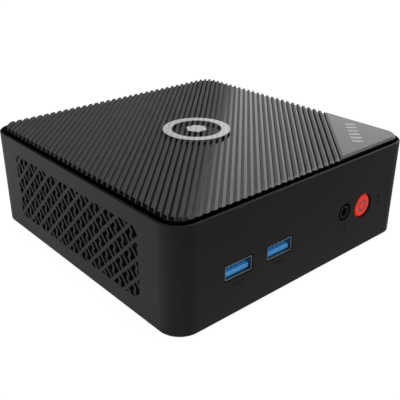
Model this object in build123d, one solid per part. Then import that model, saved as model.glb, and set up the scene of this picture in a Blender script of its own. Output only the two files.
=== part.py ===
from build123d import *
import math
import os

os.makedirs("parts", exist_ok=True)

# ---------------------------------------------------------------- driving dimensions (mm)
W = 128.0            # square footprint
CORNER_R = 9.0       # vertical corner radius
FOOT_H = 1.6         # how far the feet lift the body
RIM_Z = 43.9         # top of the shell's lip
WALL = 2.0
LIP_T = 0.7          # lip above the deck
LIP_CHAMFER = 0.3
DECK_TOP = 40.9
DECK_T = 1.5
INNER_W = W - 2 * WALL
INNER_R = CORNER_R - WALL
DECK_Z0 = DECK_TOP - DECK_T

LID_W = 124.0
LID_R = 7.0
LID_FLOOR = 44.7     # bottom of the grooves
LID_TOP = 45.8       # top of the ribs
LID_CHAMFER = 0.8
RIB_PITCH = 2.394    # across the ribs
RIB_SHIFT = -0.10    # offset of the middle groove from the lid's diagonal
GROOVE_W = 1.25
GROOVE_FIRST, GROOVE_LAST = -35, 24
PLATE_BEVEL_W, PLATE_BEVEL_H = 1.1, 0.3
PLATE_S = 57.98      # distance of the corner plate's long edge from the lid's diagonal
EMBLEM_T = 0.2
PEG_Y = 28.0
EMBLEM_R_OUT, EMBLEM_R_IN = 14.6, 10.9
EMBLEM_HEX = 4.7

VENT_W, VENT_H = 87.7, 28.6
VENT_Z = FOOT_H + 21.3
VENT_FRAME = 0.8
VENT_T = 1.2
LAT_B, LAT_A = 7.685, 5.513          # lattice steps along and across the long bars
LAT_ANGLE = 44.35                    # slope of the long bars
LAT_REF = (2.141, FOOT_H + 21.848)   # a crossing of a long bar and a straight wall
BAR_W, CROSS_W, WAVE_W = 1.36, 1.1, 1.1
WAVE_AMP, WAVE_KNEE = 0.956, 0.46

BOARD_Z0, BOARD_T = 22.65, 1.6
BOARD_Z1 = BOARD_Z0 + BOARD_T
BOARD_X = 58.0
BOARD_Y0, BOARD_Y1 = -59.2, 59.5
POST = 51.2          # inner faces of the corner posts

USB_X = (-35.8, -14.8)
USB_Z = FOOT_H + 18.1
USB_W, USB_H, USB_WALL = 13.1, 5.8, 0.35
USB_CUT_W, USB_CUT_H = 14.1, 6.8
USB_DEPTH = 13.9
JACK_X, JACK_Z = 23.5, FOOT_H + 20.4
BTN_X, BTN_Z = 36.1, FOOT_H + 19.2
BTN_HOLE_R, BTN_R = 5.6, 4.65
BTN_SET = 0.45       # how far the button face sits behind the front face
PIN_X, PIN_Z, PIN_R = 46.5, FOOT_H + 20.7, 0.6

REAR_USB_X = (-43.5, -27.0)
RJ_X, HDMI_X, DC_X = -9.0, (9.5, 27.0), 43.0
DC_Z = 17.2

FAN_X, FAN_Y = 0.0, 8.0
SCREW_XY = [(55.0 * i, 55.0 * j) for i in (-1, 1) for j in (-1, 1)]
BOARD_SCREW_XY = [(-54.0, -40.0), (54.0, -40.0), (-54.0, 44.0), (54.0, 44.0)]
FOOT_XY = [(46.0 * i, 46.0 * j) for i in (-1, 1) for j in (-1, 1)]
PLATE_XY = [(37.5 * i, 37.5 * j) for i in (-1, 1) for j in (-1, 1)]

H = W / 2
R2 = math.sqrt(0.5)


# ---------------------------------------------------------------- helpers
def block(x0, x1, y0, y1, z0, z1):
    return Pos((x0 + x1) / 2, (y0 + y1) / 2, (z0 + z1) / 2) * Box(x1 - x0, y1 - y0, z1 - z0)


def prism(w, d, r, z0, z1, x=0.0, y=0.0):
    return Pos(x, y, z0) * extrude(RectangleRounded(w, d, r), z1 - z0)


def rod_z(x, y, r, z0, z1):
    return Pos(x, y, (z0 + z1) / 2) * Cylinder(r, z1 - z0)


def rod_y(x, z, r, y0, y1):
    return Pos(x, (y0 + y1) / 2, z) * Rot(90, 0, 0) * Cylinder(r, y1 - y0)


def slab_y(x, z, w, h, r, y0, y1):
    """Rounded rectangle in X and Z, from y0 to y1."""
    return Pos(x, y1, z) * Rot(90, 0, 0) * extrude(RectangleRounded(w, h, r), y1 - y0)


def face_y(sketch, x, z, y0, y1):
    return Pos(x, y1, z) * Rot(90, 0, 0) * extrude(sketch, y1 - y0)


def ring_z(x, y, r1, r0, z0, z1):
    return rod_z(x, y, r1, z0, z1) - rod_z(x, y, r0, z0 - 1, z1 + 1)


def tube(points, r, largest=6.0):
    """Round wire along straight runs joined by tangent arcs, each as large as its two runs allow."""
    pts = [Vector(*p) for p in points]
    runs = [b - a for a, b in zip(pts, pts[1:])]
    radii = []
    for a, b in zip(runs, runs[1:]):
        half_turn = math.radians(a.get_angle(b)) / 2
        radii.append(min(largest, 0.45 * min(a.length, b.length) / math.tan(half_turn)))
    print("arc radii", [round(v, 2) for v in radii])
    path = FilletPolyline(*pts, radius=radii)
    return sweep(Plane(path @ 0, z_dir=path % 0) * Circle(r), path=path)


def solids_of(shape):
    if isinstance(shape, (list, tuple)):
        out = []
        for s in shape:
            out += solids_of(s)
        return out
    return list(shape.solids())


def save(name, shape):
    sol = solids_of(shape)
    body = sol[0] if len(sol) == 1 else Compound(sol)
    export_step(body, "parts/%s.step" % name)
    print("%-26s %3d solid(s) %10.2f mm3" % (name, len(sol), sum(s.volume for s in sol)))


# ---------------------------------------------------------------- lattice side grilles
def lattice_holes():
    """Hole outlines in (h, z): h to the right and z up, seen from outside."""
    ang = math.radians(LAT_ANGLE)
    ub = (math.cos(ang), math.sin(ang))
    ua = (math.sin(ang), -math.cos(ang))
    hp = LAT_B / 2 - CROSS_W / 2
    hq = (LAT_A - BAR_W) / 2
    t = WAVE_W / 2
    ln = math.hypot(2 * WAVE_AMP, 2 * WAVE_KNEE)
    dp, dq = -2 * WAVE_AMP / ln, 2 * WAVE_KNEE / ln
    n_p, n_q = -dq, dp                       # towards the upper left
    o_p, o_q = n_p * t, n_q * t

    def on(p):
        return o_q + dq * (p - o_p) / dp

    left = [(-hp, -hq), (WAVE_AMP - t, -hq), (WAVE_AMP - t, on(WAVE_AMP - t)),
            (-WAVE_AMP - t, on(-WAVE_AMP - t)), (-WAVE_AMP - t, hq), (-hp, hq)]
    right = [(-p, -q) for p, q in left]
    out = []
    for i in range(-16, 17):
        for j in range(-14, 15):
            cx = LAT_REF[0] + ua[0] * LAT_A * (i + 0.5) + ub[0] * LAT_B * (j + 0.5)
            cz = LAT_REF[1] + ua[1] * LAT_A * (i + 0.5) + ub[1] * LAT_B * (j + 0.5)
            if abs(cx) > VENT_W / 2 + 6 or abs(cz - VENT_Z) > VENT_H / 2 + 6:
                continue
            for poly in (left, right):
                pts = [(cx + p * ub[0] + q * ua[0], cz + p * ub[1] + q * ua[1]) for p, q in poly]
                inside = [abs(x) < VENT_W / 2 + 0.01 and abs(z - VENT_Z) < VENT_H / 2 + 0.01 for x, z in pts]
                xs = [x for x, z in pts]
                zs = [z - VENT_Z for x, z in pts]
                if min(xs) > VENT_W / 2 or max(xs) < -VENT_W / 2 or min(zs) > VENT_H / 2 or max(zs) < -VENT_H / 2:
                    continue
                out.append((pts, all(inside)))
    return out


def side_grille():
    plane = Plane(origin=(-H, 0, 0), x_dir=(0, -1, 0), z_dir=(-1, 0, 0))
    window = Pos(0, VENT_Z) * Rectangle(VENT_W, VENT_H)
    whole, cut = [], []
    for pts, inside in lattice_holes():
        f = make_face(Polyline(*pts, close=True).edges())
        (whole if inside else cut).append(f)
    clipped = []
    for f in cut:
        c = f & window
        for g in (c.faces() if c is not None else []):
            if g.area > 0.35:
                clipped.append(g)
    plate = (Pos(0, VENT_Z) * Rectangle(VENT_W + 2 * VENT_FRAME, VENT_H + 2 * VENT_FRAME)).faces()[0]
    outer = plate.outer_wire()
    inner = [f.faces()[0].outer_wire() for f in whole] + [g.outer_wire() for g in clipped]
    sheet = Face(outer, inner)
    skin = plane * extrude(sheet, -VENT_T)
    frame2d = Pos(0, VENT_Z) * (Rectangle(VENT_W + 2 * VENT_FRAME, VENT_H + 2 * VENT_FRAME) - Rectangle(VENT_W, VENT_H))
    frame = Pos(VENT_T, 0, 0) * (plane * extrude(frame2d, -(WALL - VENT_T)))
    return skin + frame


grille_left = side_grille()
grille_right = Rot(0, 0, 180) * grille_left
save("side_grille_left", grille_left)
save("side_grille_right", grille_right)

# ---------------------------------------------------------------- icons set into the front face
ICON_DEPTH = 0.12


def front_icon_sketches():
    out = []
    for x in USB_X:
        out.append((Rectangle(5.6, 0.4), x, FOOT_H + 12.7))
        out.append((Rectangle(2.6, 0.4), x, FOOT_H + 11.8))
    arc = Circle(1.5) - Circle(1.12) - Pos(0, -1.0) * Rectangle(4, 2.0)
    out.append((arc, JACK_X + 0.2, FOOT_H + 12.5))
    for s in (-1, 1):
        out.append((RectangleRounded(0.7, 1.3, 0.2), JACK_X + 0.2 + s * 1.31, FOOT_H + 11.84))
    out.append((Circle(1.3) - Circle(0.95), PIN_X + 0.4, FOOT_H + 17.2))
    out.append((Circle(0.4), PIN_X + 0.4, FOOT_H + 17.2))
    return out


icons = [face_y(s, x, z, -H, -H + ICON_DEPTH) for s, x, z in front_icon_sketches()]
save("front_icons", icons)

# ---------------------------------------------------------------- main shell
outer = prism(W, W, CORNER_R, FOOT_H, RIM_Z)
outer = chamfer(outer.faces().sort_by(Axis.Z)[-1].edges(), LIP_CHAMFER)
shell = outer - prism(W - 2 * LIP_T, W - 2 * LIP_T, CORNER_R - LIP_T, DECK_TOP, RIM_Z + 1)
shell -= prism(INNER_W, INNER_W, INNER_R, FOOT_H - 1, DECK_Z0)
adds = []
corner_fill = prism(INNER_W + 1, INNER_W + 1, INNER_R + 0.5, FOOT_H + 2.1, DECK_Z0 + 0.5)
for sx in (-1, 1):
    for sy in (-1, 1):
        x0, x1 = sorted((sx * POST, sx * (H - 1)))
        y0, y1 = sorted((sy * POST, sy * (H - 1)))
        adds.append(corner_fill & block(x0, x1, y0, y1, FOOT_H + 2.1, DECK_Z0 + 0.5))
for x, y in BOARD_SCREW_XY:
    adds.append(rod_z(x, y, 3.25, BOARD_Z1, DECK_Z0 + 0.5))
adds.append(rod_y(BTN_X, BTN_Z, 7.8, -H + WALL - 0.2, -H + WALL + 2.4))
shell = shell + adds
cuts = []
for x, y in SCREW_XY:
    cuts.append(rod_z(x, y, 2.3, FOOT_H, FOOT_H + 2.1 + 8.0))
for x, y in BOARD_SCREW_XY:
    cuts.append(rod_z(x, y, 1.8, BOARD_Z1 - 1, BOARD_Z1 + 7.0))
for sx in (-1, 1):
    x0, x1 = sorted((sx * (H - WALL - 1), sx * (H + 1)))
    cuts.append(block(x0, x1, -(VENT_W / 2 + VENT_FRAME), VENT_W / 2 + VENT_FRAME,
                      VENT_Z - VENT_H / 2 - VENT_FRAME, VENT_Z + VENT_H / 2 + VENT_FRAME))
for x in USB_X:
    cuts.append(slab_y(x, USB_Z, USB_CUT_W, USB_CUT_H, 1.0, -H - 1, -H + WALL + 0.5))
cuts.append(rod_y(JACK_X, JACK_Z, 3.85, -H - 1, -H + WALL + 0.5))
cuts.append(rod_y(BTN_X, BTN_Z, BTN_HOLE_R, -H - 1, -H + WALL + 0.5))
cuts.append(rod_y(BTN_X, BTN_Z, 6.6, -H + WALL, -H + WALL + 3.5))
cuts.append(rod_y(PIN_X, PIN_Z, PIN_R, -H - 1, -H + WALL + 0.5))
for x in REAR_USB_X:
    cuts.append(slab_y(x, USB_Z, USB_CUT_W, USB_CUT_H, 1.0, H - WALL - 0.5, H + 1))
cuts.append(slab_y(RJ_X, 15.9, 16.6, 14.1, 0.5, H - WALL - 0.5, H + 1))
for x in HDMI_X:
    cuts.append(slab_y(x, 19.85, 15.8, 6.4, 0.8, H - WALL - 0.5, H + 1))
cuts.append(rod_y(DC_X, DC_Z, 4.4, H - WALL - 0.5, H + 1))
for i in range(-10, 11):
    cuts.append(slab_y(i * 3.6, 32.0, 1.8, 9.6, 0.6, H - WALL - 0.5, H + 1))
for sx in (-1, 1):
    for sy in (-1, 1):
        cuts.append(rod_z(sx * 56.0, sy * PEG_Y, 1.25, DECK_Z0 - 1, DECK_TOP + 1))
shell = shell - cuts - icons
save("main_shell", shell)

# ---------------------------------------------------------------- lid, corner plate, emblem, print
lid_full = prism(LID_W, LID_W, LID_R, DECK_TOP, LID_TOP)
lid_full = chamfer(lid_full.faces().sort_by(Axis.Z)[-1].edges(), LID_CHAMFER)


def strip(s0, s1, z0, z1, length=190.0):
    """Bar that runs at 45 degrees between the offsets s0 and s1 from the diagonal."""
    sc = (s0 + s1) / 2
    return Pos(sc * R2, -sc * R2, (z0 + z1) / 2) * Rot(0, 0, 45) * Box(length, s1 - s0, z1 - z0)


region = strip(PLATE_S, PLATE_S + 40, LID_FLOOR, LID_TOP + 1)
corner_plate = lid_full & region
mid_s = PLATE_S + PLATE_BEVEL_W / 2
slope = math.degrees(math.atan2(PLATE_BEVEL_H, PLATE_BEVEL_W))
edge = Pos(mid_s * R2, -mid_s * R2, LID_TOP - PLATE_BEVEL_H / 2) * Rot(0, 0, 45) * Rot(-slope, 0, 0) * Pos(0, 0, 1) * Box(120, 6, 2)
corner_plate = corner_plate - edge
grooves = []
for n in range(GROOVE_FIRST, GROOVE_LAST + 1):
    sc = RIB_SHIFT + RIB_PITCH * n
    s0 = sc - GROOVE_W / 2 - (2.0 if n == GROOVE_FIRST else 0.0)      # the first one runs out at the corner
    grooves.append(strip(s0, sc + GROOVE_W / 2, LID_FLOOR, LID_TOP + 1))
lid = lid_full - grooves
lid = lid - region
lid = lid - prism(LID_W - 4, LID_W - 4, LID_R - 2, DECK_TOP - 1, LID_FLOOR - 1.5)
pegs = [rod_z(sx * 56.0, sy * PEG_Y, 2.6, DECK_TOP, LID_FLOOR - 1.0) + rod_z(sx * 56.0, sy * PEG_Y, 1.2, DECK_Z0 + 0.1, DECK_TOP + 1)
        for sx in (-1, 1) for sy in (-1, 1)]
lid = lid + pegs
save("top_lid", lid)
save("corner_plate", corner_plate)

emblem = ring_z(0, 0, EMBLEM_R_OUT, EMBLEM_R_IN, LID_TOP, LID_TOP + EMBLEM_T)
hexagon = Pos(0, 0, LID_TOP) * extrude(RegularPolygon(EMBLEM_HEX, 6), EMBLEM_T)
save("lid_emblem", [emblem, hexagon])

PRINT_T = 0.06
marks = []
for i in range(6):
    t = (i - 2.5) * 4.3
    s = 67.2
    marks.append(Pos(s * R2 + t * R2, -s * R2 + t * R2, LID_TOP + PRINT_T / 2) * Rot(0, 0, 45) * Box(2.5, 4.5, PRINT_T))
save("lid_print_marks", marks)

# ---------------------------------------------------------------- base, feet, fasteners
BASE_Z1 = FOOT_H + 2.0
base = prism(INNER_W - 0.4, INNER_W - 0.4, INNER_R - 0.2, FOOT_H, BASE_Z1)
base = base + [rod_z(x, y, 4.5, BASE_Z1 - 0.5, BASE_Z1 + 4.0) for x, y in PLATE_XY]
bc = []
for x, y in SCREW_XY:
    bc.append(rod_z(x, y, 1.7, FOOT_H - 1, BASE_Z1 + 1))
    bc.append(Pos(x, y, FOOT_H + 0.8) * Cone(3.1, 1.5, 1.6))
for x, y in FOOT_XY:
    bc.append(rod_z(x, y, 6.0, FOOT_H - 1, FOOT_H + 0.4))
for x, y in PLATE_XY:
    bc.append(rod_z(x, y, 2.8, FOOT_H - 1, BASE_Z1 + 5))
for i in range(-6, 7):
    for y in (-14.0, 14.0):
        bc.append(prism(2.2, 22.0, 1.05, FOOT_H - 1, BASE_Z1 + 1, i * 4.6, y))
base = base - bc
save("base_cover", base)

feet = []
for x, y in FOOT_XY:
    f = rod_z(x, y, 6.0, 0, FOOT_H + 0.4)
    feet.append(chamfer(f.faces().sort_by(Axis.Z)[0].edges(), 0.5))
save("rubber_feet", feet)
save("mount_inserts", [ring_z(x, y, 2.8, 1.65, FOOT_H, BASE_Z1 + 4.0) for x, y in PLATE_XY])
save("base_inserts", [ring_z(x, y, 2.3, 1.3, FOOT_H + 2.1, FOOT_H + 8.1) for x, y in SCREW_XY])


def cross(x, y, z0, z1, size=2.6, w=0.55):
    return [block(x - size / 2, x + size / 2, y - w / 2, y + w / 2, z0, z1),
            block(x - w / 2, x + w / 2, y - size / 2, y + size / 2, z0, z1)]


base_screws = []
for x, y in SCREW_XY:
    s = Pos(x, y, FOOT_H + 0.8) * Cone(3.0, 1.4, 1.6) + rod_z(x, y, 1.25, FOOT_H + 1.0, FOOT_H + 8.4)
    base_screws.append(s - cross(x, y, FOOT_H - 1, FOOT_H + 0.9))
save("base_screws", base_screws)

# ---------------------------------------------------------------- USB sockets
def usb_port(x, front=True):
    """Shell, tongue and contacts of one socket; the contacts face up."""
    z0, z1 = USB_Z - USB_H / 2, USB_Z + USB_H / 2
    yf = -H + 0.1
    yb = yf + USB_DEPTH
    sh = slab_y(x, USB_Z, USB_W, USB_H, 0.7, yf, yb) - slab_y(x, USB_Z, USB_W - 2 * USB_WALL, USB_H - 2 * USB_WALL, 0.4, yf - 1, yb + 1)
    iw = USB_W - 2 * USB_WALL - 0.04
    tz0 = z0 + USB_WALL + 0.55
    tongue = block(x - 5.55, x + 5.55, yf + 0.6, yb - 1.9, tz0, tz0 + 1.84)
    tongue = chamfer(tongue.faces().sort_by(Axis.Y)[0].edges(), 0.35)
    root = slab_y(x, USB_Z, iw, USB_H - 2 * USB_WALL - 0.04, 0.45, yb - 2.0, yb - 0.1)
    tongue = tongue + root
    con = []
    for dx, w in ((-3.5, 1.0), (-1.0, 1.0), (1.0, 1.0), (3.5, 1.0)):
        con.append(block(x + dx - w / 2, x + dx + w / 2, yf + 1.9, yb - 2.0, tz0 + 1.84, tz0 + 1.94))
    if front:
        tilt = [sh, tongue, con]
    else:
        tilt = [mirror(sh, Plane.XZ), mirror(tongue, Plane.XZ), [mirror(c, Plane.XZ) for c in con]]
    return tilt


pl, pr = usb_port(USB_X[0]), usb_port(USB_X[1])
save("usb_front_left_shell", pl[0])
save("usb_front_left_tongue", pl[1])
save("usb_front_right_shell", pr[0])
save("usb_front_right_tongue", pr[1])
save("usb_front_contacts", pl[2] + pr[2])
ra, rb = usb_port(REAR_USB_X[0], False), usb_port(REAR_USB_X[1], False)
save("usb_rear_shells", [ra[0], rb[0]])
save("usb_rear_tongues", [ra[1], rb[1]])
save("usb_rear_contacts", ra[2] + rb[2])

# ---------------------------------------------------------------- audio jack
jack = block(JACK_X - 3.2, JACK_X + 3.2, -61.4, -49.8, JACK_Z - 2.6, JACK_Z + 2.6)
jack = jack + rod_y(JACK_X, JACK_Z, 2.7, -H + 0.2, -61.0)
jack = jack - rod_y(JACK_X, JACK_Z, 1.8, -H - 1, -50.6)
save("audio_jack", jack)

# ---------------------------------------------------------------- power button and its switch
cap = rod_y(BTN_X, BTN_Z, BTN_R, -H + BTN_SET, -61.3)
cap = chamfer(cap.faces().sort_by(Axis.Y)[0].edges(), 0.25)
cap = cap + rod_y(BTN_X, BTN_Z, 6.3, -61.8, -61.0) + rod_y(BTN_X, BTN_Z, 1.5, -61.2, -58.3)
SYM_D = 0.12
sym = (Circle(2.42) - Circle(1.78)) - Pos(0, 2.1) * Rectangle(1.9, 1.6)
sym = sym + Pos(0, 1.75) * Rectangle(0.6, 2.3)
symbol = face_y(sym, BTN_X, BTN_Z, -H + BTN_SET, -H + BTN_SET + SYM_D)
cap = cap - symbol
save("power_button_cap", cap)
save("power_button_symbol", symbol)
sw = block(BTN_X - 3.0, BTN_X + 3.0, -56.5, -52.6, BTN_Z - 1.85, BOARD_Z0)
sw = sw - rod_y(BTN_X, BTN_Z, 1.65, -57, -55.0)
save("power_switch_body", sw)
save("power_switch_plunger", rod_y(BTN_X, BTN_Z, 1.6, -58.3, -55.7))
save("power_led", block(BTN_X + 5.4, BTN_X + 7.0, -58.6, -57.8, BOARD_Z0 - 0.7, BOARD_Z0))

# ---------------------------------------------------------------- reset switch behind the pinhole
rs = block(PIN_X - 1.9, PIN_X + 1.9, -58.9, -56.3, PIN_Z - 1.4, BOARD_Z0)
rs = rs - block(PIN_X - 0.8, PIN_X + 0.8, -59.5, -57.9, PIN_Z - 0.55, PIN_Z + 0.25)
save("reset_switch_body", rs)
save("reset_switch_plunger", block(PIN_X - 0.75, PIN_X + 0.75, -60.9, -58.2, PIN_Z - 0.5, PIN_Z + 0.2))

# ---------------------------------------------------------------- rear sockets
dc = block(DC_X - 4.5, DC_X + 4.5, 50.0, 62.0 - 0.1, DC_Z - 5.0, BOARD_Z0)
dc = dc + rod_y(DC_X, DC_Z, 4.1, 61.5, H - 0.2)
dc = dc - rod_y(DC_X, DC_Z, 3.0, 53.0, H + 1)
dc = dc - rod_y(DC_X, DC_Z, 1.0, 51.0, 54)
save("dc_jack_body", dc)
pin = rod_y(DC_X, DC_Z, 1.0, 51.0, 62.4)
save("dc_jack_pin", chamfer(pin.faces().sort_by(Axis.Y)[-1].edges(), 0.35))

hdmi_tongues = []
for name, x in (("hdmi_inner_shell", HDMI_X[0]), ("hdmi_outer_shell", HDMI_X[1])):
    zc = BOARD_Z0 - 2.8
    prof = Polyline((-7.5, 2.8), (7.5, 2.8), (7.5, -0.4), (5.9, -2.8), (-5.9, -2.8), (-7.5, -0.4), close=True)
    inn = Polyline((-7.1, 2.4), (7.1, 2.4), (7.1, -0.28), (5.68, -2.4), (-5.68, -2.4), (-7.1, -0.28), close=True)
    sh = face_y(make_face(prof.edges()), x, zc, 52.5, H - 0.1) - face_y(make_face(inn.edges()), x, zc, 51.5, H + 1)
    save(name, sh)
    tg = block(x - 5.0, x + 5.0, 53.5, H - 1.2, zc + 0.1, zc + 1.15)
    tg = tg + block(x - 5.6, x + 5.6, 52.6, 54.5, zc - 2.3, zc + 2.35)
    hdmi_tongues.append(tg)
save("hdmi_tongues", hdmi_tongues)

RZ0, RZ1 = 9.15, BOARD_Z0
rj = block(RJ_X - 8.0, RJ_X + 8.0, 47.9, H - 0.1, RZ0, RZ1) - block(RJ_X - 7.7, RJ_X + 7.7, 48.2, H + 1, RZ0 + 0.3, RZ1 - 0.3)
save("rj45_shell", rj)
hs = block(RJ_X - 7.7, RJ_X + 7.7, 48.2, H - 0.4, RZ0 + 0.3, RZ1 - 0.3)
RJC0, RJC1 = 11.6, 19.6
hs = hs - block(RJ_X - 5.95, RJ_X + 5.95, 50.6, H + 1, RJC0, RJC1)
hs = hs - block(RJ_X - 3.1, RJ_X + 3.1, 50.6, H + 1, RJC0 - 1.4, RJC0 + 0.5)
save("rj45_housing", hs)
rc = []
for i in range(8):
    x = RJ_X + (i - 3.5) * 1.02
    w = Pos(x, 56.0, RJC1 - 1.15) * Rot(-12, 0, 0) * Box(0.4, 8.6, 0.25)
    rc.append(w)
save("rj45_contacts", rc)

# ---------------------------------------------------------------- motherboard
board = block(-BOARD_X, BOARD_X, BOARD_Y0, BOARD_Y1, BOARD_Z0, BOARD_Z1)
bcut = []
for sx in (-1, 1):
    for sy in (-1, 1):
        x0, x1 = sorted((sx * (POST - 0.6), sx * 60))
        y0, y1 = sorted((sy * (POST - 0.6), sy * 62))
        bcut.append(block(x0, x1, y0, y1, BOARD_Z0 - 1, BOARD_Z1 + 1))
bcut.append(block(JACK_X - 3.3, JACK_X + 3.3, -62, -49.7, BOARD_Z0 - 1, BOARD_Z1 + 1))
for x, y in BOARD_SCREW_XY:
    bcut.append(rod_z(x, y, 1.5, BOARD_Z0 - 1, BOARD_Z1 + 1))
HS_XY = [(FAN_X + 33.0 * i, FAN_Y + 33.0 * j) for i in (-1, 1) for j in (-1, 1)]
for x, y in HS_XY:
    bcut.append(rod_z(x, y, 1.35, BOARD_Z0 - 1, BOARD_Z1 + 1))
board = board - bcut
save("motherboard", board)
save("board_inserts", [ring_z(x, y, 1.8, 1.05, BOARD_Z1, BOARD_Z1 + 5.0) for x, y in BOARD_SCREW_XY])
bs = []
for x, y in BOARD_SCREW_XY:
    s = rod_z(x, y, 2.4, BOARD_Z0 - 1.5, BOARD_Z0) + rod_z(x, y, 1.0, BOARD_Z0 - 0.5, BOARD_Z1 + 4.6)
    bs.append(s - cross(x, y, BOARD_Z0 - 2, BOARD_Z0 - 0.7, 2.2, 0.5))
save("board_screws", bs)

# ---------------------------------------------------------------- processor and cooler
CZ = BOARD_Z1
cpu = block(-12, 12, FAN_Y - 14, FAN_Y + 14, CZ, CZ + 0.9) + block(-5, 5, FAN_Y - 6, FAN_Y + 6, CZ + 0.9, CZ + 1.3)
save("cpu_package", cpu)
save("thermal_pad", block(-6, 6, FAN_Y - 7, FAN_Y + 7, CZ + 1.3, CZ + 1.6))
HZ0 = CZ + 1.6
HZ1 = HZ0 + 2.0
FZ1 = HZ1 + 3.3
sink = block(FAN_X - 37, FAN_X + 37, FAN_Y - 37, FAN_Y + 37, HZ0, HZ1)
fins = [block(FAN_X + i * 2.8 - 0.4, FAN_X + i * 2.8 + 0.4, FAN_Y - 37, FAN_Y + 37, HZ1 - 0.2, FZ1) for i in range(-13, 14)]
sink = sink + fins
FAN_HOLES = [(FAN_X + 25.0 * i, FAN_Y + 25.0 * j) for i in (-1, 1) for j in (-1, 1)]
sink = sink - [rod_z(x, y, 3.45, HZ1, FZ1 + 1) for x, y in HS_XY] - [rod_z(x, y, 3.65, HZ1, FZ1 + 1) for x, y in FAN_HOLES]
sink = sink + [rod_z(x, y, 3.0, HZ1 - 0.2, FZ1 + 0.1) for x, y in FAN_HOLES]
sink = sink - [rod_z(x, y, 1.3, HZ0 - 1, HZ1 + 1) for x, y in HS_XY]
sink = sink - [rod_z(x, y, 1.2, HZ0 + 1.0, FZ1 + 1) for x, y in FAN_HOLES]
save("heatsink", sink)
hsc = []
for x, y in HS_XY:
    s = rod_z(x, y, 2.4, HZ1, HZ1 + 1.4) + rod_z(x, y, 1.2, BOARD_Z0 + 0.2, HZ1 + 0.5)
    hsc.append(s - cross(x, y, HZ1 + 0.7, HZ1 + 2, 2.2, 0.5))
save("heatsink_screws", hsc)

FR0 = FZ1 + 0.1
FR1 = FR0 + 7.0
frame = prism(60, 60, 3.0, FR0, FR1, FAN_X, FAN_Y) - rod_z(FAN_X, FAN_Y, 28.2, FR0 - 1, FR1 + 1)
arms = [Pos(FAN_X, FAN_Y, FR0 + 0.4) * Rot(0, 0, a) * Pos(18.5, 0, 0) * Box(21, 2.2, 0.8) for a in (20, 140, 260)]
frame = frame + arms + rod_z(FAN_X, FAN_Y, 10.5, FR0, FR0 + 0.8)
frame = frame + rod_z(FAN_X, FAN_Y, 3.0, FR0, FR0 + 5.0) + rod_z(FAN_X, FAN_Y, 9.2, FR0 + 1.4, FR0 + 4.6)
frame = frame - rod_z(FAN_X, FAN_Y, 1.05, FR0 + 0.6, FR0 + 6)
frame = frame - [rod_z(x, y, 1.45, FR0 - 1, FR1 + 1) for x, y in FAN_HOLES]
frame = frame - [rod_z(x, y, 3.0, FR1 - 1.4, FR1 + 1) for x, y in FAN_HOLES]
save("fan_frame", frame)
fsc = []
for x, y in FAN_HOLES:
    s = rod_z(x, y, 2.5, FR1 - 1.4, FR1 - 0.2) + rod_z(x, y, 1.15, HZ0 + 1.4, FR1 - 1.0)
    fsc.append(s - cross(x, y, FR1 - 0.9, FR1 + 1, 2.2, 0.5))
save("fan_screws", fsc)

hub_top = FR1 - 0.3
hub = rod_z(FAN_X, FAN_Y, 11.6, FR0 + 1.2, hub_top) - rod_z(FAN_X, FAN_Y, 10.2, FR0, hub_top - 1.1)
hub = fillet(hub.faces().sort_by(Axis.Z)[-1].edges(), 0.5)
hub = hub + rod_z(FAN_X, FAN_Y, 1.0, FR0 + 0.9, hub_top - 0.5)
ring = ring_z(FAN_X, FAN_Y, 27.6, 11.3, FR0 + 1.3, FR1 - 0.5)
blades = []
for i in range(9):
    b = Pos(FAN_X, FAN_Y, (FR0 + 1.3 + FR1 - 0.5) / 2) * Rot(0, 0, i * 40) * Pos(19.4, 0, 0) * Rot(32, 0, 0) * Box(18.4, 9.6, 0.9)
    blades.append(b & ring)
rotor = hub + blades
save("fan_rotor", rotor)

plug = block(39.6, 43.4, -25.5, -20.5, BOARD_Z1, BOARD_Z1 + 3.4)
wire = tube([(30.05 + 0.75, -12.0, FR0 + 2.0), (33.0, -14.0, FR0 + 2.6), (39.0, -19.0, FR0 + 1.6), (41.5, -23.0, FR0), (41.5, -23.0, BOARD_Z1 + 3.0)], 0.7)
save("fan_cable", plug + wire)

# ---------------------------------------------------------------- board parts
comps = []
for k, (x, y) in enumerate([(-44, -20), (-44, -8), (-44, 4), (44, -8), (44, 4), (44, 16)]):
    comps.append(block(x - 3.4, x + 3.4, y - 3.4, y + 3.4, CZ, CZ + 3.0))
for x, y in [(-52, -22), (-52, -12), (-52, -2), (52, -10), (52, 0), (52, 10), (30, -44), (38, -44)]:
    comps.append(rod_z(x, y, 2.6, CZ, CZ + 5.6))
comps.append(block(-44, -32, -50, -38, CZ, CZ + 1.2))
comps.append(block(-10, 2, -52, -40, CZ, CZ + 1.1))
comps.append(block(-52, -42, 18, 28, CZ, CZ + 1.0))
comps.append(block(8, 14, -50, -44, CZ, CZ + 0.9))
save("board_components", comps)

mem_z = 19.6
mem = block(-33.8, 33.8, -10, 19.6, mem_z, mem_z + 1.2)
mem = mem + [block(x - 5.5, x + 5.5, -5.5, 6.5, mem_z - 1.0, mem_z + 0.1) for x in (-25, -9, 9, 25)]
mem = mem - block(8.0, 9.4, 17.0, 21, mem_z - 2, mem_z + 2)
save("memory_module", mem)
ms = block(-37, 37, 17.6, 23.6, mem_z - 1.2, BOARD_Z0)
ms = ms + [block(s * 35.7 - 1.3, s * 35.7 + 1.3, -8, 18, mem_z - 0.9, BOARD_Z0) for s in (-1, 1)]
ms = ms - block(-33.9, 33.9, 17, 19.7, mem_z - 0.05, mem_z + 1.25)
save("memory_socket", ms)

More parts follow.
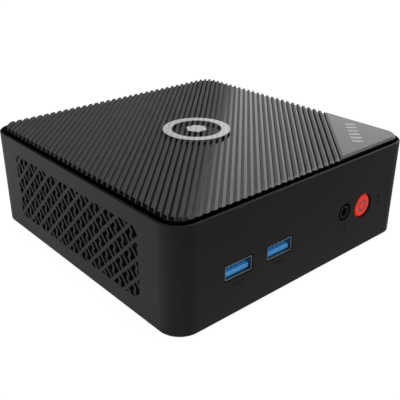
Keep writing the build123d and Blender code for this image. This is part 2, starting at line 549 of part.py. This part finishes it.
SSD_Y = 35.6
ssd = block(-44, 36, SSD_Y - 11, SSD_Y + 11, 20.4, 21.2)
ssd = ssd + [block(x - 7, x + 7, SSD_Y - 7, SSD_Y + 7, 19.2, 20.5) for x in (-24, -4, 18)] + block(-40, -34, SSD_Y - 4, SSD_Y + 4, 19.5, 20.5)
ssd = ssd - rod_z(36, SSD_Y, 1.9, 19, 22)
save("m2_ssd", ssd)
m2s = block(-48.4, -42.4, SSD_Y - 11, SSD_Y + 11, 19.4, BOARD_Z0) - block(-44.1, -42, SSD_Y - 11.1, SSD_Y + 11.1, 20.35, 21.25)
save("m2_socket", m2s)
stand = rod_z(36, SSD_Y, 2.8, 21.25, BOARD_Z0) + rod_z(36, SSD_Y, 1.8, 20.6, 21.5)
save("m2_standoff", stand - rod_z(36, SSD_Y, 0.9, 19.0, 22.0))
msc = rod_z(36, SSD_Y, 2.6, 19.4, 20.35) + rod_z(36, SSD_Y, 0.85, 20.0, 22.0)
save("m2_screw", msc - cross(36, SSD_Y, 19, 19.9, 2.0, 0.45))

wifi = block(-49, -19, -46, -24, 20.6, 21.4) + block(-46, -27, -44, -26, 19.4, 20.7)
save("wifi_module", wifi)
ws = block(-20.4, -15.0, -46, -24, 19.6, BOARD_Z0) - block(-20.5, -18.9, -46.1, -23.9, 20.55, 21.45)
save("wifi_socket", ws)
ants = []
for s, x1, y1 in ((-1, -44.5, -42.0), (1, -41.0, -42.0)):
    xa = 24.0 * s
    a = block(xa - 16, xa + 16, -57.5, -50.0, DECK_Z0 - 0.35, DECK_Z0 - 0.02)
    xd = -24.5 if s < 0 else -4.5
    c = tube([(xa + (-1.0 if s < 0 else -14.0), -56.0, DECK_Z0 - 0.75), (xd, -60.6, 36.0),
              (xd, -60.6, 21.0), (xd, -58.0, 15.6), (x1 + 8.0, -47.6, 15.6), (x1, y1, 18.8)], 0.5)
    ants.append(a + c)
save("wifi_antennas", ants)

cell = rod_z(38, -34, 10.0, BOARD_Z0 - 3.2, BOARD_Z0)
cell = chamfer(cell.faces().sort_by(Axis.Z)[0].edges(), 0.4)
save("coin_cell", cell)
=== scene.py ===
import math

import bmesh
import bpy
from mathutils import Matrix, Vector

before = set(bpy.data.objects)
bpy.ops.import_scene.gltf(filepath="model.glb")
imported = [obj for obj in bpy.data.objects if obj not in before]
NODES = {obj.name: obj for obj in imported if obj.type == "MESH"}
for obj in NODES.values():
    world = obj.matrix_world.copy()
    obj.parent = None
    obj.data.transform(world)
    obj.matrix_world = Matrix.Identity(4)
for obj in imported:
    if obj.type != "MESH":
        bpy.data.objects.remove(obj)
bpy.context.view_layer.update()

SCENE = bpy.context.scene
MM = 0.001


# ------------------------------------------------------------------ node helpers
class Mat:
    """A node material built around one Principled shader."""

    def __init__(self, name):
        self.m = bpy.data.materials.new(name)
        self.m.use_nodes = True
        self.nt = self.m.node_tree
        self.nt.nodes.clear()
        self.out = self.node("ShaderNodeOutputMaterial")
        self.p = self.node("ShaderNodeBsdfPrincipled")
        self.link(self.p.outputs[0], self.out.inputs[0])
        self.tc = self.node("ShaderNodeTexCoord")
        self.co = self.tc.outputs["Object"]

    def node(self, kind, **props):
        n = self.nt.nodes.new(kind)
        for k, v in props.items():
            setattr(n, k, v)
        return n

    def link(self, a, b):
        self.nt.links.new(a, b)

    def put(self, socket, value):
        if isinstance(value, bpy.types.NodeSocket):
            self.link(value, socket)
        elif isinstance(value, (tuple, list)) and len(value) == 3 and len(socket.default_value) == 4:
            socket.default_value = (*value, 1.0)
        else:
            socket.default_value = value

    def set(self, **values):
        names = {"color": "Base Color", "rough": "Roughness", "metal": "Metallic", "spec": "Specular IOR Level",
                 "ior": "IOR", "coat": "Coat Weight", "coat_rough": "Coat Roughness", "normal": "Normal",
                 "emit": "Emission Color", "emit_strength": "Emission Strength", "aniso": "Anisotropic",
                 "sheen": "Sheen Weight", "sss": "Subsurface Weight", "trans": "Transmission Weight"}
        for k, v in values.items():
            self.put(self.p.inputs[names[k]], v)
        return self

    def math(self, op, a, b=0.0, c=None, clamp=False):
        n = self.node("ShaderNodeMath", operation=op, use_clamp=clamp)
        self.put(n.inputs[0], a)
        self.put(n.inputs[1], b)
        if c is not None:
            self.put(n.inputs[2], c)
        return n.outputs[0]

    def noise(self, scale, detail=3.0, rough=0.55, stretch=None, dist=0.0):
        co = self.co
        if stretch is not None:
            mp = self.node("ShaderNodeMapping")
            self.link(co, mp.inputs[0])
            mp.inputs["Scale"].default_value = stretch
            co = mp.outputs[0]
        n = self.node("ShaderNodeTexNoise")
        self.link(co, n.inputs["Vector"])
        n.inputs["Scale"].default_value = scale
        n.inputs["Detail"].default_value = detail
        n.inputs["Roughness"].default_value = rough
        n.inputs["Distortion"].default_value = dist
        return n.outputs["Fac"]

    def voronoi(self, scale, feature="F1"):
        n = self.node("ShaderNodeTexVoronoi", feature=feature)
        self.link(self.co, n.inputs["Vector"])
        n.inputs["Scale"].default_value = scale
        return n.outputs["Distance"]

    def ramp(self, fac, *stops):
        n = self.node("ShaderNodeValToRGB")
        self.put(n.inputs[0], fac)
        r = n.color_ramp
        while len(r.elements) < len(stops):
            r.elements.new(0.5)
        for e, (pos, col) in zip(r.elements, stops):
            e.position = pos
            e.color = (*col, 1.0) if not isinstance(col, (int, float)) else (col, col, col, 1.0)
        return n.outputs[0]

    def range(self, v, a, b, c, d, smooth=False):
        n = self.node("ShaderNodeMapRange", clamp=True)
        if smooth:
            n.interpolation_type = "SMOOTHSTEP"
        self.put(n.inputs[0], v)
        for i, x in enumerate((a, b, c, d)):
            self.put(n.inputs[i + 1], x)
        return n.outputs[0]

    def mix(self, fac, a, b):
        n = self.node("ShaderNodeMix", data_type="RGBA")
        self.put(n.inputs[0], fac)
        self.put(n.inputs[6], a)
        self.put(n.inputs[7], b)
        return n.outputs[2]

    def mixf(self, fac, a, b):
        n = self.node("ShaderNodeMix", data_type="FLOAT")
        self.put(n.inputs[0], fac)
        self.put(n.inputs[2], a)
        self.put(n.inputs[3], b)
        return n.outputs[0]

    def bump(self, height, distance, strength=1.0, normal=None):
        n = self.node("ShaderNodeBump")
        n.inputs["Strength"].default_value = strength
        n.inputs["Distance"].default_value = distance
        self.link(height, n.inputs["Height"])
        if normal is not None:
            self.link(normal, n.inputs["Normal"])
        return n.outputs[0]

    def bevel(self, radius, samples=4):
        n = self.node("ShaderNodeBevel", samples=samples)
        n.inputs["Radius"].default_value = radius
        return n.outputs[0]

    def xyz(self):
        n = self.node("ShaderNodeSeparateXYZ")
        self.link(self.co, n.inputs[0])
        return n.outputs

    def normal_xyz(self):
        g = self.node("ShaderNodeNewGeometry")
        n = self.node("ShaderNodeSeparateXYZ")
        self.link(g.outputs["Normal"], n.inputs[0])
        return n.outputs

    def outline(self, x, y, near, far):
        """1 inside the lid's rounded outline, 0 beyond; the limits count from a square 110 mm wide."""
        d = [self.math("MAXIMUM", self.math("SUBTRACT", self.math("ABSOLUTE", v), 0.055), 0.0) for v in (x, y)]
        sq = [self.math("MULTIPLY", v, v) for v in d]
        return self.range(self.math("SQRT", self.math("ADD", *sq)), near, far, 1.0, 0.0)

    def edge(self, radius, gain=6.0):
        """0 on flat faces, up to 1 along sharp edges."""
        b = self.node("ShaderNodeBevel", samples=4)
        b.inputs["Radius"].default_value = radius
        g = self.node("ShaderNodeNewGeometry")
        d = self.node("ShaderNodeVectorMath", operation="DOT_PRODUCT")
        self.link(b.outputs[0], d.inputs[0])
        self.link(g.outputs["Normal"], d.inputs[1])
        return self.math("MULTIPLY", self.math("SUBTRACT", 1.0, d.outputs["Value"]), gain, clamp=True)


def assign(material, *names):
    for n in names:
        o = NODES[n]
        o.data.materials.clear()
        o.data.materials.append(material.m)


def shade(base, vary=0.12, warm=0.0):
    return (tuple(max(0.0, c * (1 - vary)) for c in base), tuple(c * (1 + vary) for c in base))


def plastic(name, base, rough, spec=0.4, grain=2600.0, grain_depth=0.00001, vary=0.1, bevel=0.00015, mottling=90.0,
            rough_vary=0.06, wear_and_edge_highlight=0.0, coat=0.0):
    m = Mat(name)
    lo, hi = shade(base, vary)
    col = m.ramp(m.noise(mottling, 4.0), (0.3, lo), (0.7, hi))
    # sharp edges turn lighter in patches: partly worn edges, partly painted edge highlight
    if wear_and_edge_highlight:
        e = m.math("MULTIPLY", m.edge(bevel * 1.6), m.range(m.noise(700.0, 4.0), 0.35, 0.7, 0.0, wear_and_edge_highlight))
        col = m.mix(e, col, tuple(min(1.0, c * 2.4 + 0.02) for c in base))
    fine = m.noise(grain, 2.0, 0.6)
    r = m.math("ADD", m.range(fine, 0.3, 0.7, -rough_vary / 2, rough_vary / 2), m.range(m.noise(40.0, 3.0), 0.3, 0.7, rough - rough_vary / 2, rough + rough_vary / 2))
    nrm = m.bump(fine, grain_depth, 1.0, m.bevel(bevel) if bevel else None)
    m.set(color=col, rough=r, spec=spec, normal=nrm, coat=coat)
    return m


def metal(name, base, rough, brushed=None, vary=0.06, bevel=0.0001, grain=3000.0, tarnish=None):
    m = Mat(name)
    lo, hi = shade(base, vary)
    streak = m.noise(500.0, 4.0, 0.6, stretch=brushed) if brushed else m.noise(grain, 3.0)
    cloud = m.noise(160.0, 4.0)
    col = m.ramp(cloud, (0.3, lo), (0.7, hi))
    if tarnish:
        col = m.mix(m.range(m.noise(420.0, 5.0), 0.52, 0.75, 0.0, 0.6), col, tarnish)
    r = m.math("ADD", m.range(streak, 0.3, 0.7, -0.07, 0.07), rough)
    m.set(color=col, rough=r, metal=1.0, normal=m.bump(streak, 0.000004, 1.0, m.bevel(bevel)))
    return m


# ------------------------------------------------------------------ materials
shell = plastic("shell_plastic", (0.0062, 0.0062, 0.0064), 0.42, spec=0.24, grain=3200.0, grain_depth=0.000010, vary=0.08, bevel=0.00018, wear_and_edge_highlight=0.25)
# a faint even glow over the whole shell: painted light that lifts its blacks
shell.set(emit=(0.0018, 0.0018, 0.0018), emit_strength=1.0)
assign(shell, "main_shell", "side_grille_left", "side_grille_right")

base = plastic("base_plastic", (0.0075, 0.0075, 0.008), 0.5, spec=0.26, grain=2400.0, grain_depth=0.000018, vary=0.1, wear_and_edge_highlight=0.2)
assign(base, "base_cover")

# lid: one glossy black moulding whose rib tops and inner rib walls are finished matt
lid = Mat("lid_plastic")
x, y, z = lid.xyz()
top = lid.range(z, 0.04482, 0.04500, 0.0, 1.0)
# the outer side walls and the chamfer round the lid keep the glossy black of the moulding
inside = lid.outline(x, y, 0.00620, 0.00630)
matt = lid.math("MULTIPLY", top, inside)
# the rib walls that face the front right corner are satin, and painted paler: painted light for the light that falls on
# them from the front right
nx, ny, nz = lid.normal_xyz()
lit_rib_wall_mask = lid.math("MULTIPLY", lid.range(lid.math("MULTIPLY", lid.math("SUBTRACT", nx, ny), 0.70710678), 0.85, 0.95, 0.0, 1.0), inside)
lit_rib_wall_mask = lid.math("MULTIPLY", lit_rib_wall_mask, lid.range(z, 0.04488, 0.04506, 0.0, 1.0))
fine = lid.noise(3600.0, 2.0, 0.6)
rib_col = lid.ramp(lid.noise(110.0, 4.0), (0.3, (0.040, 0.040, 0.041)), (0.7, (0.048, 0.048, 0.049)))
painted_light_wall_col = lid.ramp(lid.noise(150.0, 4.0), (0.3, (0.175, 0.175, 0.177)), (0.7, (0.215, 0.215, 0.217)))
floor_col = lid.ramp(lid.noise(260.0, 4.0), (0.3, (0.0010, 0.0010, 0.0011)), (0.7, (0.0018, 0.0018, 0.0019)))
rib_rough = lid.range(fine, 0.3, 0.7, 0.50, 0.62)
floor_rough = lid.range(lid.noise(420.0, 3.0), 0.3, 0.7, 0.13, 0.17)
bev = lid.bevel(0.00012)
lid.set(color=lid.mix(lit_rib_wall_mask, lid.mix(matt, floor_col, rib_col), painted_light_wall_col), rough=lid.mixf(lid.math("MAXIMUM", matt, lit_rib_wall_mask), floor_rough, rib_rough), spec=0.5,
        normal=lid.bump(lid.math("MULTIPLY", fine, matt), 0.000012, 1.0, bev))
assign(lid, "top_lid")

corner = Mat("corner_plastic")
x, y, _ = corner.xyz()
face = corner.outline(x, y, 0.00620, 0.00630)
fine = corner.noise(4200.0, 2.0, 0.6)
col = corner.ramp(corner.noise(90.0, 4.0), (0.3, (0.0162, 0.0162, 0.0167)), (0.7, (0.0198, 0.0198, 0.0203)))
edge_col = corner.ramp(corner.noise(260.0, 4.0), (0.3, (0.0022, 0.0022, 0.0023)), (0.7, (0.0034, 0.0034, 0.0035)))
corner.set(color=corner.mix(face, edge_col, col), rough=corner.math("ADD", corner.range(fine, 0.3, 0.7, -0.015, 0.015), corner.range(corner.noise(40.0), 0.3, 0.7, 0.255, 0.285)),
           spec=0.5, normal=corner.bump(fine, 0.000002, 1.0, corner.bevel(0.00012)))
assign(corner, "corner_plate")

# emblem: light foil pressed over the ribs, whose lines stay faintly visible; the foil is painted darker along the
# grooves, painted shade of the dips
emb = Mat("emblem_foil")
x, y, _ = emb.xyz()
s = emb.math("MULTIPLY", emb.math("SUBTRACT", x, y), 0.70710678 / 0.002394)
ph = emb.math("ABSOLUTE", emb.math("SUBTRACT", emb.math("FRACT", emb.math("ADD", s, 100.5418)), 0.5))
groove_shade_and_dip = emb.range(ph, 0.16, 0.3, 1.0, 0.0, smooth=True)
col = emb.ramp(emb.noise(240.0, 4.0), (0.3, (0.76, 0.765, 0.775)), (0.7, (0.84, 0.845, 0.85)))
# darker stripes along the grooves: painted shade
col = emb.mix(emb.math("MULTIPLY", groove_shade_and_dip, 0.34), col, (0.40, 0.40, 0.41))
emb.set(color=col, rough=emb.range(emb.noise(900.0), 0.3, 0.7, 0.34, 0.44), metal=0.15, spec=0.5,
        normal=emb.bump(groove_shade_and_dip, 0.00006, -0.6, emb.bevel(0.0001)))
assign(emb, "lid_emblem")

ink = plastic("print_light", (0.55, 0.55, 0.56), 0.5, spec=0.4, grain=2200.0, grain_depth=0.000004, vary=0.12, bevel=0.0)
assign(ink, "lid_print_marks")
icon = plastic("icon_print", (0.0018, 0.0018, 0.0019), 0.5, spec=0.1, grain=2200.0, grain_depth=0.000003, vary=0.15, bevel=0.0)
assign(icon, "front_icons")

rubber = plastic("foot_rubber", (0.016, 0.016, 0.0165), 0.8, spec=0.3, grain=1500.0, grain_depth=0.00003, vary=0.2, bevel=0.0003)
assign(rubber, "rubber_feet")

steel = metal("socket_steel", (0.50, 0.50, 0.49), 0.34, brushed=(1.0, 0.06, 1.0), tarnish=(0.34, 0.33, 0.31))
assign(steel, "usb_rear_shells", "hdmi_inner_shell", "hdmi_outer_shell", "rj45_shell", "dc_jack_pin")
# the front USB shells: the same steel painted darker, painted shade inside the front ports
steel_front_painted_shade = metal("socket_steel_painted_shade", (0.30, 0.295, 0.285), 0.36, brushed=(1.0, 0.06, 1.0), tarnish=(0.20, 0.19, 0.175))
assign(steel_front_painted_shade, "usb_front_left_shell", "usb_front_right_shell")
assign(metal("steel_screw", (0.5, 0.5, 0.49), 0.32, brushed=(1.0, 1.0, 0.05)), "board_screws", "heatsink_screws", "fan_screws", "m2_screw")
assign(metal("black_screw", (0.045, 0.045, 0.048), 0.42, tarnish=(0.09, 0.09, 0.09)), "base_screws")
assign(metal("insert_brass", (0.62, 0.44, 0.18), 0.33, brushed=(1.0, 1.0, 0.08), tarnish=(0.4, 0.27, 0.12)), "mount_inserts", "base_inserts", "board_inserts", "m2_standoff")
gold = metal("contact_gold", (0.83, 0.6, 0.24), 0.22)
assign(gold, "usb_rear_contacts", "rj45_contacts")
nickel = metal("contact_nickel", (0.10, 0.30, 0.52), 0.34)
# a blue emission on the contacts: painted glow
nickel.set(metal=0.35, emit=(0.03, 0.15, 0.33), emit_strength=0.28)
assign(nickel, "usb_front_contacts")
assign(metal("sink_aluminium", (0.6, 0.6, 0.61), 0.36, brushed=(0.05, 1.0, 1.0)), "heatsink")
assign(metal("cell_steel", (0.6, 0.6, 0.59), 0.28, tarnish=(0.42, 0.41, 0.38)), "coin_cell")

# sockets and button: saturated mouldings given a little emission, painted light that brightens them as bright lamps
# would
blue = plastic("usb_blue", (0.035, 0.30, 0.72), 0.36, spec=0.5, grain=2600.0, grain_depth=0.000006, vary=0.12, bevel=0.0001)
blue.set(emit=(0.035, 0.27, 0.66), emit_strength=0.28)
assign(blue, "usb_front_left_tongue", "usb_front_right_tongue")
sock = plastic("socket_black", (0.006, 0.006, 0.0065), 0.4, spec=0.3, grain=2600.0, grain_depth=0.000008, vary=0.15, bevel=0.0001)
assign(sock, "usb_rear_tongues", "hdmi_tongues", "rj45_housing", "audio_jack", "dc_jack_body", "memory_socket", "m2_socket", "wifi_socket",
       "power_switch_body", "reset_switch_body", "power_switch_plunger", "reset_switch_plunger")

red = plastic("button_red", (0.86, 0.045, 0.026), 0.42, spec=0.25, grain=3000.0, grain_depth=0.000004, vary=0.05, bevel=0.00015, mottling=300.0)
red.set(emit=(0.9, 0.045, 0.026), emit_strength=0.42)
assign(red, "power_button_cap")
sym = plastic("symbol_print", (0.06, 0.18, 0.185), 0.42, spec=0.3, grain=2500.0, grain_depth=0.000003, vary=0.1, bevel=0.0)
assign(sym, "power_button_symbol")
assign(plastic("led_lens", (0.42, 0.7, 0.75), 0.2, spec=0.5, grain=900.0, vary=0.1, bevel=0.0001), "power_led")
assign(plastic("pad_grey", (0.26, 0.28, 0.33), 0.7, spec=0.3, grain=1400.0, grain_depth=0.00002, vary=0.15), "thermal_pad")
assign(plastic("chip_black", (0.014, 0.014, 0.015), 0.5, spec=0.4, grain=2600.0, grain_depth=0.000015, vary=0.2), "cpu_package", "board_components")
assign(plastic("fan_black", (0.012, 0.012, 0.0125), 0.4, spec=0.4, grain=2200.0, grain_depth=0.00001, vary=0.12, bevel=0.0002), "fan_frame", "fan_rotor")
assign(plastic("cable_black", (0.013, 0.013, 0.013), 0.5, spec=0.35, grain=1800.0, grain_depth=0.00002, vary=0.15, bevel=0.0), "fan_cable")
assign(plastic("antenna_film", (0.03, 0.022, 0.012), 0.4, spec=0.5, grain=1800.0, grain_depth=0.000008, vary=0.2, bevel=0.0), "wifi_antennas")

# circuit boards: solder mask with faint tracks and dots
pcb = Mat("board_green")
x, y, zz = pcb.xyz()
brick = pcb.node("ShaderNodeTexBrick", offset=0.37, squash=1.0)
pcb.link(pcb.co, brick.inputs["Vector"])
brick.inputs["Scale"].default_value = 420.0
brick.inputs["Mortar Size"].default_value = 0.05
brick.inputs["Mortar Smooth"].default_value = 0.3
tracks = brick.outputs["Fac"]
dots = pcb.range(pcb.voronoi(520.0), 0.1, 0.16, 1.0, 0.0)
mask = pcb.ramp(pcb.noise(130.0, 4.0), (0.3, (0.003, 0.030, 0.019)), (0.7, (0.005, 0.042, 0.027)))
col = pcb.mix(pcb.math("MULTIPLY", tracks, 0.5), mask, (0.008, 0.07, 0.045))
col = pcb.mix(pcb.math("MULTIPLY", dots, 0.7), col, (0.32, 0.29, 0.2))
pcb.set(color=col, rough=pcb.range(pcb.noise(600.0), 0.3, 0.7, 0.28, 0.4), spec=0.5,
        normal=pcb.bump(pcb.math("ADD", tracks, dots), 0.00003, 0.7, pcb.bevel(0.0001)))
assign(pcb, "motherboard", "memory_module", "m2_ssd", "wifi_module")


# ------------------------------------------------------------------ floor, light, camera
def floor_plane():
    me = bpy.data.meshes.new("studio_floor")
    bm = bmesh.new()
    bmesh.ops.create_grid(bm, x_segments=8, y_segments=8, size=6.0)
    bm.to_mesh(me)
    bm.free()
    o = bpy.data.objects.new("studio_floor", me)
    SCENE.collection.objects.link(o)
    m = Mat("studio_floor")
    # seen directly the floor is bright white; towards the object it gives back only part of that light
    m.set(color=m.ramp(m.noise(3.0), (0.3, (0.10, 0.10, 0.10)), (0.7, (0.11, 0.11, 0.11))), rough=0.9, spec=0.0)
    lp = m.node("ShaderNodeLightPath")
    x, y, _ = m.xyz()
    glow = m.math("MULTIPLY", m.range(x, -0.09, -0.06, FLOOR_GLOW * 1.55, FLOOR_GLOW * 1.1), m.range(x, -0.06, 0.09, 1.0, 0.62))
    glow = m.math("MULTIPLY", glow, m.range(y, -0.09, -0.055, 0.80, 1.0))
    m.set(emit=(1.0, 1.0, 1.0), emit_strength=m.mixf(lp.outputs["Is Camera Ray"], glow, 0.97))
    g = m.node("ShaderNodeNewGeometry")
    t = m.node("ShaderNodeBsdfTransparent")
    mx = m.node("ShaderNodeMixShader")
    m.link(g.outputs["Backfacing"], mx.inputs[0])
    m.link(m.p.outputs[0], mx.inputs[1])
    m.link(t.outputs[0], mx.inputs[2])
    m.link(mx.outputs[0], m.out.inputs[0])
    me.materials.append(m.m)
    return o


FLOOR_GLOW = 0.42
floor_plane()


def area(name, loc, target, size, power, size_y=None, color=(1, 1, 1)):
    d = bpy.data.lights.new(name, "AREA")
    d.shape = "RECTANGLE"
    d.size = size
    d.size_y = size_y or size
    d.energy = power
    d.color = color
    o = bpy.data.objects.new(name, d)
    o.location = loc
    o.rotation_mode = "QUATERNION"
    o.rotation_quaternion = (Vector(target) - Vector(loc)).to_track_quat("-Z", "Y")
    SCENE.collection.objects.link(o)
    return o


def around(azimuth, elevation, distance):
    """A place round the object; azimuth is measured from +X towards +Y."""
    a, e = math.radians(azimuth), math.radians(elevation)
    return (math.cos(a) * math.cos(e) * distance, math.sin(a) * math.cos(e) * distance, math.sin(e) * distance)


area("top_light", (0.0, -0.05, 1.5), (0, 0, 0), 1.2, 9.0)
# tall softbox at the right: its far edge lies along the ribs, so the groove floors brighten from left to right
area("right_light", around(5.0, 24.0, 1.7), (0, 0, 0.04), 2.7, 17.0, 1.35)
area("left_light", around(168.0, 22.0, 1.6), (0, 0, 0.02), 0.9, 4.7)
area("front_right_light", around(-45.0, 42.0, 1.5), (0, 0, 0.04), 0.8, 3.6)

world = bpy.data.worlds.new("studio")
SCENE.world = world
world.use_nodes = True
wn = world.node_tree
wn.nodes.clear()
wo = wn.nodes.new("ShaderNodeOutputWorld")
dark = wn.nodes.new("ShaderNodeBackground")
dark.inputs[0].default_value = (1, 1, 1, 1)
dark.inputs[1].default_value = 0.02
white = wn.nodes.new("ShaderNodeBackground")
white.inputs[0].default_value = (1, 1, 1, 1)
white.inputs[1].default_value = 1.0
lp = wn.nodes.new("ShaderNodeLightPath")
mxw = wn.nodes.new("ShaderNodeMixShader")
wn.links.new(lp.outputs["Is Camera Ray"], mxw.inputs[0])
wn.links.new(dark.outputs[0], mxw.inputs[1])
wn.links.new(white.outputs[0], mxw.inputs[2])
wn.links.new(mxw.outputs[0], wo.inputs[0])

cam_data = bpy.data.cameras.new("camera")
cam_data.sensor_width = 36.0
cam_data.lens = 56.053
cam_data.clip_start = 0.005
cam_data.clip_end = 50.0
cam = bpy.data.objects.new("camera", cam_data)
SCENE.collection.objects.link(cam)
SCENE.camera = cam
CAM_AZ, CAM_EL, CAM_ROLL = -0.71835, 0.44703, 0.00287
look = Vector((-math.sin(CAM_AZ) * math.cos(CAM_EL), math.cos(CAM_AZ) * math.cos(CAM_EL), -math.sin(CAM_EL)))
right = look.cross(Vector((0, 0, 1))).normalized()
up = right.cross(look)
right, up = (math.cos(CAM_ROLL) * right + math.sin(CAM_ROLL) * up, math.cos(CAM_ROLL) * up - math.sin(CAM_ROLL) * right)
cam.rotation_mode = "QUATERNION"
cam.rotation_quaternion = Matrix((right, up, -look)).transposed().to_quaternion()
cam.location = (-0.16768, -0.19427, 0.1346)

SCENE.view_settings.view_transform = "Standard"
SCENE.view_settings.look = "None"
SCENE.view_settings.exposure = 0.0
SCENE.view_settings.gamma = 1.0
